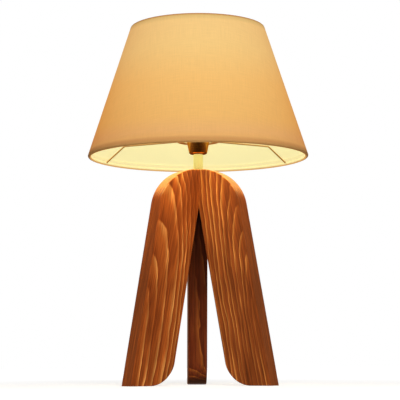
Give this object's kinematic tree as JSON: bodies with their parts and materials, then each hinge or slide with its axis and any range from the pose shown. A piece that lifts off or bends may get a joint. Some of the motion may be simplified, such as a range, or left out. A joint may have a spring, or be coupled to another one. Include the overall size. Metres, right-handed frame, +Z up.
{
  "type": "tripod table lamp",
  "caption": "Table lamp: leaning mitred wood boards as a tripod, a short brass stem with a screw lampholder, and a conical fabric shade on a wire spider.",
  "frame": {"origin": "on the lamp's vertical axis at floor level, under the middle of the three feet", "axes": "+Z up along the stem; -Y is the front, between two legs; +X is the lamp's right as seen from the front"},
  "size_m": [0.3, 0.3, 0.488],
  "materials": {
    "stained_pine": "stained softwood with bold grain, satin",
    "beech": "raw, fluted",
    "zinc_plated_steel": "zinc plated",
    "black_nylon": "moulded",
    "polished_brass": "polished and lacquered",
    "satin_brass": "satin",
    "contact_brass": "bare",
    "glazed_porcelain": "glazed white",
    "brassed_wire": "brass-plated wire",
    "shade_cloth": "fine plain-woven cloth, lit from inside",
    "cream_lining": "smooth translucent lining",
    "nickel_plated_cap": "nickel plated, rolled thread",
    "black_glass": "black vitreous insulator",
    "white_polycarbonate": "moulded, satin",
    "circuit_board": "solder resist",
    "light_board": "white solder resist on aluminium",
    "capacitor_sleeve": "shrunk sleeve",
    "light_chips": "phosphor",
    "opal_diffuser": "opal polycarbonate, lit"
  },
  "bodies": {
    "stand": {"leg_front_left": "stained_pine", "leg_front_right": "stained_pine", "leg_back": "stained_pine", "mitre_dowels": "beech", "threaded_tube": "zinc_plated_steel", "cord_bushing": "black_nylon", "base_washer": "zinc_plated_steel", "base_nut": "zinc_plated_steel", "stem_tube": "polished_brass", "holder_cup": "polished_brass", "cup_lock_washer": "zinc_plated_steel", "cup_lock_nut": "zinc_plated_steel", "holder_skirt": "polished_brass", "holder_insert": "glazed_porcelain", "holder_screw_shell": "contact_brass", "holder_centre_contact": "contact_brass", "holder_terminal_screws": "contact_brass", "lower_shade_ring": "satin_brass"},
    "shade": {"shade_spider_ring": "brassed_wire", "shade_arm_front": "brassed_wire", "shade_arm_back_right": "brassed_wire", "shade_arm_back_left": "brassed_wire", "shade_bottom_wire": "brassed_wire", "shade_top_wire": "brassed_wire", "shade_bottom_hem": "shade_cloth", "shade_top_hem": "shade_cloth", "shade_fabric": "shade_cloth", "shade_lining": "cream_lining"},
    "clamp_ring": {"upper_shade_ring": "satin_brass"},
    "bulb": {"bulb_cap": "nickel_plated_cap", "bulb_insulator": "black_glass", "bulb_tip_contact": "nickel_plated_cap", "bulb_housing": "white_polycarbonate", "bulb_driver_board": "circuit_board", "bulb_driver_capacitor": "capacitor_sleeve", "bulb_led_board": "light_board", "bulb_leds": "light_chips", "bulb_globe": "opal_diffuser"}
  },
  "joints": [
    {"name": "shade_turn", "type": "hinge", "parent": "stand", "child": "shade", "pos_m": [0, 0, 0.3325], "axis": [0, 0, 1], "continuous": true},
    {"name": "clamp_ring_turn", "type": "hinge", "parent": "stand", "child": "clamp_ring", "pos_m": [0, 0, 0.3373], "axis": [0, 0, 1], "range_deg": [0, 3600]},
    {"name": "bulb_turn", "type": "hinge", "parent": "stand", "child": "bulb", "pos_m": [0, 0, 0.3512], "axis": [0, 0, 1], "range_deg": [0, 1440]}
  ]
}
